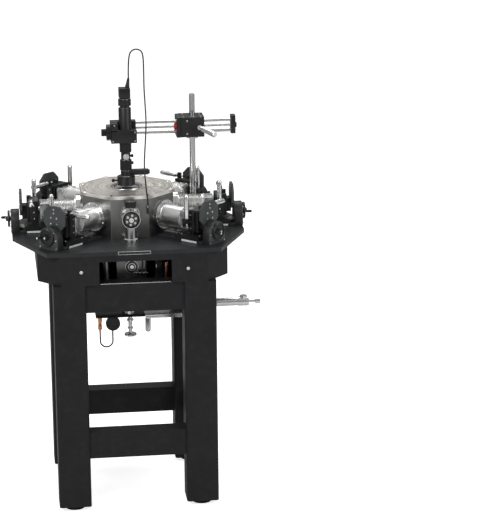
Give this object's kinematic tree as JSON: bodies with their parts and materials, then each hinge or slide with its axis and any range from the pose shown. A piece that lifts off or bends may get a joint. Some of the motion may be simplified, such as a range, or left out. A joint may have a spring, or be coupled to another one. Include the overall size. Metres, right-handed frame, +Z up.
{
  "type": "wafer probe station",
  "caption": "Vacuum wafer probe station: octagonal chamber on a deck and welded stand, micropositioned probe arms, boom-mounted zoom microscope.",
  "frame": {"origin": "on the floor under the middle of the stand", "axes": "+Z up, +Y towards the back, +X to the right as seen from the front"},
  "size_m": [0.834, 0.628, 1.4282],
  "materials": {
    "stand_grey": "satin powder coat",
    "deck_grey": "satin powder coat",
    "stage_black": "black anodised",
    "stainless": "polished",
    "chrome": "polished",
    "glass": "clear",
    "foot_black": "matte",
    "copper_chuck": "gold plated",
    "knob_black": "matte",
    "alloy": "satin",
    "cable_black": "matte",
    "fitting_dark": "satin"
  },
  "bodies": {
    "station": {"stand_frame": "stand_grey", "levelling_feet": "foot_black", "skirt_box": "stand_grey", "deck_plate": "deck_grey", "chamber_body": "stainless", "chamber_lid": "stainless", "viewport_glass": "glass", "sample_stage": "copper_chuck", "chamber_flanges": "stainless", "front_valve": "stainless", "manipulator_bases": "deck_grey", "arm_bellows": "stainless", "boom_post": "stainless", "vacuum_manifold": "stainless", "fitting_shelf": "fitting_dark", "hose_loops": "cable_black"},
    "front_valve_knob": {"front_valve_knob": "knob_black"},
    "boom_head": {"boom_head": "stage_black"},
    "clamp_lever": {"clamp_lever": "chrome"},
    "boom": {"boom": "stainless"},
    "microscope": {"microscope": "stage_black", "camera_cable": "cable_black", "camera_plug": "cable_black"},
    "focus_knob": {"focus_knob": "knob_black"},
    "x_stage_front_left": {"x_stage_front_left": "stage_black"},
    "z_stage_front_left": {"z_stage_front_left": "stage_black"},
    "arm_front_left": {"arm_front_left": "stainless"},
    "lift_micrometer_front_left": {"lift_micrometer_front_left": "alloy"},
    "cross_micrometer_front_left": {"cross_micrometer_front_left": "alloy"},
    "drive_wheel_front_left": {"drive_wheel_front_left": "stage_black"},
    "x_stage_left": {"x_stage_left": "stage_black"},
    "z_stage_left": {"z_stage_left": "stage_black"},
    "arm_left": {"arm_left": "stainless"},
    "lift_micrometer_left": {"lift_micrometer_left": "alloy"},
    "cross_micrometer_left": {"cross_micrometer_left": "alloy"},
    "drive_wheel_left": {"drive_wheel_left": "stage_black"},
    "x_stage_rear_left": {"x_stage_rear_left": "stage_black"},
    "z_stage_rear_left": {"z_stage_rear_left": "stage_black"},
    "arm_rear_left": {"arm_rear_left": "stainless"},
    "lift_micrometer_rear_left": {"lift_micrometer_rear_left": "alloy"},
    "cross_micrometer_rear_left": {"cross_micrometer_rear_left": "alloy"},
    "drive_wheel_rear_left": {"drive_wheel_rear_left": "stage_black"},
    "x_stage_front_right": {"x_stage_front_right": "stage_black"},
    "z_stage_front_right": {"z_stage_front_right": "stage_black"},
    "arm_front_right": {"arm_front_right": "stainless"},
    "lift_micrometer_front_right": {"lift_micrometer_front_right": "alloy"},
    "cross_micrometer_front_right": {"cross_micrometer_front_right": "alloy"},
    "drive_wheel_front_right": {"drive_wheel_front_right": "stage_black"},
    "x_stage_right": {"x_stage_right": "stage_black"},
    "z_stage_right": {"z_stage_right": "stage_black"},
    "arm_right": {"arm_right": "stainless"},
    "lift_micrometer_right": {"lift_micrometer_right": "alloy"},
    "cross_micrometer_right": {"cross_micrometer_right": "alloy"},
    "drive_wheel_right": {"drive_wheel_right": "stage_black"},
    "x_stage_rear_right": {"x_stage_rear_right": "stage_black"},
    "z_stage_rear_right": {"z_stage_rear_right": "stage_black"},
    "arm_rear_right": {"arm_rear_right": "stainless"},
    "lift_micrometer_rear_right": {"lift_micrometer_rear_right": "alloy"},
    "cross_micrometer_rear_right": {"cross_micrometer_rear_right": "alloy"},
    "drive_wheel_rear_right": {"drive_wheel_rear_right": "stage_black"}
  },
  "joints": [
    {"name": "x_slide_front_left", "type": "slide", "parent": "station", "child": "x_stage_front_left", "axis": [-0.7071, -0.7071, 0], "range_m": [-0.051, 0], "deforming": ["arm_bellows"]},
    {"name": "z_slide_front_left", "type": "slide", "parent": "x_stage_front_left", "child": "z_stage_front_left", "axis": [0, 0, 1], "range_m": [-0.009, 0.009], "deforming": ["arm_bellows"]},
    {"name": "y_slide_front_left", "type": "slide", "parent": "z_stage_front_left", "child": "arm_front_left", "axis": [0.7071, -0.7071, 0], "range_m": [-0.0125, 0.0125], "deforming": ["arm_bellows"]},
    {"name": "drive_turn_front_left", "type": "hinge", "parent": "station", "child": "drive_wheel_front_left", "pos_m": [-0.26658, -0.20658, 0.891], "axis": [-0.7071, -0.7071, 0], "range_deg": [-3675, 3]},
    {"name": "lift_turn_front_left", "type": "hinge", "parent": "x_stage_front_left", "child": "lift_micrometer_front_left", "pos_m": [-0.24607, -0.10971, 0.96], "axis": [0, 0, 1], "range_deg": [-1623, 1623]},
    {"name": "cross_turn_front_left", "type": "hinge", "parent": "z_stage_front_left", "child": "cross_micrometer_front_left", "pos_m": [-0.16829, -0.20729, 0.958], "axis": [0.7071, -0.7071, 0], "range_deg": [-2253, 2253]},
    {"name": "x_slide_left", "type": "slide", "parent": "station", "child": "x_stage_left", "axis": [-1, 0, 0], "range_m": [-0.051, 0], "deforming": ["arm_bellows"]},
    {"name": "z_slide_left", "type": "slide", "parent": "x_stage_left", "child": "z_stage_left", "axis": [0, 0, 1], "range_m": [-0.009, 0.009], "deforming": ["arm_bellows"]},
    {"name": "y_slide_left", "type": "slide", "parent": "z_stage_left", "child": "arm_left", "axis": [0, -1, 0], "range_m": [-0.0125, 0.0125], "deforming": ["arm_bellows"]},
    {"name": "drive_turn_left", "type": "hinge", "parent": "station", "child": "drive_wheel_left", "pos_m": [-0.377, 0.06, 0.891], "axis": [-1, 0, 0], "range_deg": [-3675, 3]},
    {"name": "lift_turn_left", "type": "hinge", "parent": "x_stage_left", "child": "lift_micrometer_left", "pos_m": [-0.294, 0.114, 0.96], "axis": [0, 0, 1], "range_deg": [-1623, 1623]},
    {"name": "cross_turn_left", "type": "hinge", "parent": "z_stage_left", "child": "cross_micrometer_left", "pos_m": [-0.308, -0.01, 0.958], "axis": [0, -1, 0], "range_deg": [-2253, 2253]},
    {"name": "x_slide_rear_left", "type": "slide", "parent": "station", "child": "x_stage_rear_left", "axis": [-0.7071, 0.7071, 0], "range_m": [-0.051, 0], "deforming": ["arm_bellows"]},
    {"name": "z_slide_rear_left", "type": "slide", "parent": "x_stage_rear_left", "child": "z_stage_rear_left", "axis": [0, 0, 1], "range_m": [-0.009, 0.009], "deforming": ["arm_bellows"]},
    {"name": "y_slide_rear_left", "type": "slide", "parent": "z_stage_rear_left", "child": "arm_rear_left", "axis": [-0.7071, -0.7071, 0], "range_m": [-0.0125, 0.0125], "deforming": ["arm_bellows"]},
    {"name": "drive_turn_rear_left", "type": "hinge", "parent": "station", "child": "drive_wheel_rear_left", "pos_m": [-0.26658, 0.32658, 0.891], "axis": [-0.7071, 0.7071, 0], "range_deg": [-3675, 3]},
    {"name": "lift_turn_rear_left", "type": "hinge", "parent": "x_stage_rear_left", "child": "lift_micrometer_rear_left", "pos_m": [-0.16971, 0.30607, 0.96], "axis": [0, 0, 1], "range_deg": [-1623, 1623]},
    {"name": "cross_turn_rear_left", "type": "hinge", "parent": "z_stage_rear_left", "child": "cross_micrometer_rear_left", "pos_m": [-0.26729, 0.22829, 0.958], "axis": [-0.7071, -0.7071, 0], "range_deg": [-2253, 2253]},
    {"name": "x_slide_front_right", "type": "slide", "parent": "station", "child": "x_stage_front_right", "axis": [0.7071, -0.7071, 0], "range_m": [-0.051, 0], "deforming": ["arm_bellows"]},
    {"name": "z_slide_front_right", "type": "slide", "parent": "x_stage_front_right", "child": "z_stage_front_right", "axis": [0, 0, 1], "range_m": [-0.009, 0.009], "deforming": ["arm_bellows"]},
    {"name": "y_slide_front_right", "type": "slide", "parent": "z_stage_front_right", "child": "arm_front_right", "axis": [0.7071, 0.7071, 0], "range_m": [-0.0125, 0.0125], "deforming": ["arm_bellows"]},
    {"name": "drive_turn_front_right", "type": "hinge", "parent": "station", "child": "drive_wheel_front_right", "pos_m": [0.26658, -0.20658, 0.891], "axis": [0.7071, -0.7071, 0], "range_deg": [-3675, 3]},
    {"name": "lift_turn_front_right", "type": "hinge", "parent": "x_stage_front_right", "child": "lift_micrometer_front_right", "pos_m": [0.16971, -0.18607, 0.96], "axis": [0, 0, 1], "range_deg": [-1623, 1623]},
    {"name": "cross_turn_front_right", "type": "hinge", "parent": "z_stage_front_right", "child": "cross_micrometer_front_right", "pos_m": [0.26729, -0.10829, 0.958], "axis": [0.7071, 0.7071, 0], "range_deg": [-2253, 2253]},
    {"name": "x_slide_right", "type": "slide", "parent": "station", "child": "x_stage_right", "axis": [1, 0, 0], "range_m": [-0.051, 0], "deforming": ["arm_bellows"]},
    {"name": "z_slide_right", "type": "slide", "parent": "x_stage_right", "child": "z_stage_right", "axis": [0, 0, 1], "range_m": [-0.009, 0.009], "deforming": ["arm_bellows"]},
    {"name": "y_slide_right", "type": "slide", "parent": "z_stage_right", "child": "arm_right", "axis": [0, 1, 0], "range_m": [-0.0125, 0.0125], "deforming": ["arm_bellows"]},
    {"name": "drive_turn_right", "type": "hinge", "parent": "station", "child": "drive_wheel_right", "pos_m": [0.377, 0.06, 0.891], "axis": [1, 0, 0], "range_deg": [-3675, 3]},
    {"name": "lift_turn_right", "type": "hinge", "parent": "x_stage_right", "child": "lift_micrometer_right", "pos_m": [0.294, 0.006, 0.96], "axis": [0, 0, 1], "range_deg": [-1623, 1623]},
    {"name": "cross_turn_right", "type": "hinge", "parent": "z_stage_right", "child": "cross_micrometer_right", "pos_m": [0.308, 0.13, 0.958], "axis": [0, 1, 0], "range_deg": [-2253, 2253]},
    {"name": "x_slide_rear_right", "type": "slide", "parent": "station", "child": "x_stage_rear_right", "axis": [0.7071, 0.7071, 0], "range_m": [-0.051, 0], "deforming": ["arm_bellows"]},
    {"name": "z_slide_rear_right", "type": "slide", "parent": "x_stage_rear_right", "child": "z_stage_rear_right", "axis": [0, 0, 1], "range_m": [-0.009, 0.009], "deforming": ["arm_bellows"]},
    {"name": "y_slide_rear_right", "type": "slide", "parent": "z_stage_rear_right", "child": "arm_rear_right", "axis": [-0.7071, 0.7071, 0], "range_m": [-0.0125, 0.0125], "deforming": ["arm_bellows"]},
    {"name": "drive_turn_rear_right", "type": "hinge", "parent": "station", "child": "drive_wheel_rear_right", "pos_m": [0.26658, 0.32658, 0.891], "axis": [0.7071, 0.7071, 0], "range_deg": [-3675, 3]},
    {"name": "lift_turn_rear_right", "type": "hinge", "parent": "x_stage_rear_right", "child": "lift_micrometer_rear_right", "pos_m": [0.24607, 0.22971, 0.96], "axis": [0, 0, 1], "range_deg": [-1623, 1623]},
    {"name": "cross_turn_rear_right", "type": "hinge", "parent": "z_stage_rear_right", "child": "cross_micrometer_rear_right", "pos_m": [0.16829, 0.32729, 0.958], "axis": [-0.7071, 0.7071, 0], "range_deg": [-2253, 2253]},
    {"name": "valve_turn", "type": "hinge", "parent": "station", "child": "front_valve_knob", "pos_m": [0, -0.114, 0.965], "axis": [0, 0, 1], "range_deg": [-720, 0]},
    {"name": "boom_swivel", "type": "hinge", "parent": "station", "child": "boom_head", "pos_m": [0.222, 0.135, 1.166], "axis": [0, 0, 1], "range_deg": [-30, 30], "deforming": ["camera_cable", "camera_plug"]},
    {"name": "boom_slide", "type": "slide", "parent": "boom_head", "child": "boom", "axis": [1, 0, 0], "range_m": [-0.08, 0.09], "deforming": ["camera_cable", "camera_plug"]},
    {"name": "focus_slide", "type": "slide", "parent": "boom", "child": "microscope", "axis": [0, 0, 1], "range_m": [-0.005, 0.025], "deforming": ["camera_cable", "camera_plug"]},
    {"name": "focus_turn", "type": "hinge", "parent": "microscope", "child": "focus_knob", "pos_m": [-0.06, 0.06, 1.161], "axis": [1, 0, 0], "range_deg": [-93, 453]},
    {"name": "lever_turn", "type": "hinge", "parent": "boom_head", "child": "clamp_lever", "pos_m": [0.24, 0.06, 1.167], "axis": [0, 1, 0], "range_deg": [-40, 40]}
  ],
  "couplings": [
    {"joint": "drive_turn_front_left", "follows": "x_slide_front_left", "rad_per_m": 1256.6},
    {"joint": "lift_turn_front_left", "follows": "z_slide_front_left", "rad_per_m": 3141.6},
    {"joint": "cross_turn_front_left", "follows": "y_slide_front_left", "rad_per_m": 3141.6},
    {"joint": "drive_turn_left", "follows": "x_slide_left", "rad_per_m": 1256.6},
    {"joint": "lift_turn_left", "follows": "z_slide_left", "rad_per_m": 3141.6},
    {"joint": "cross_turn_left", "follows": "y_slide_left", "rad_per_m": 3141.6},
    {"joint": "drive_turn_rear_left", "follows": "x_slide_rear_left", "rad_per_m": 1256.6},
    {"joint": "lift_turn_rear_left", "follows": "z_slide_rear_left", "rad_per_m": 3141.6},
    {"joint": "cross_turn_rear_left", "follows": "y_slide_rear_left", "rad_per_m": 3141.6},
    {"joint": "drive_turn_front_right", "follows": "x_slide_front_right", "rad_per_m": 1256.6},
    {"joint": "lift_turn_front_right", "follows": "z_slide_front_right", "rad_per_m": 3141.6},
    {"joint": "cross_turn_front_right", "follows": "y_slide_front_right", "rad_per_m": 3141.6},
    {"joint": "drive_turn_right", "follows": "x_slide_right", "rad_per_m": 1256.6},
    {"joint": "lift_turn_right", "follows": "z_slide_right", "rad_per_m": 3141.6},
    {"joint": "cross_turn_right", "follows": "y_slide_right", "rad_per_m": 3141.6},
    {"joint": "drive_turn_rear_right", "follows": "x_slide_rear_right", "rad_per_m": 1256.6},
    {"joint": "lift_turn_rear_right", "follows": "z_slide_rear_right", "rad_per_m": 3141.6},
    {"joint": "cross_turn_rear_right", "follows": "y_slide_rear_right", "rad_per_m": 3141.6},
    {"joint": "focus_turn", "follows": "focus_slide", "rad_per_m": 314.16}
  ]
}
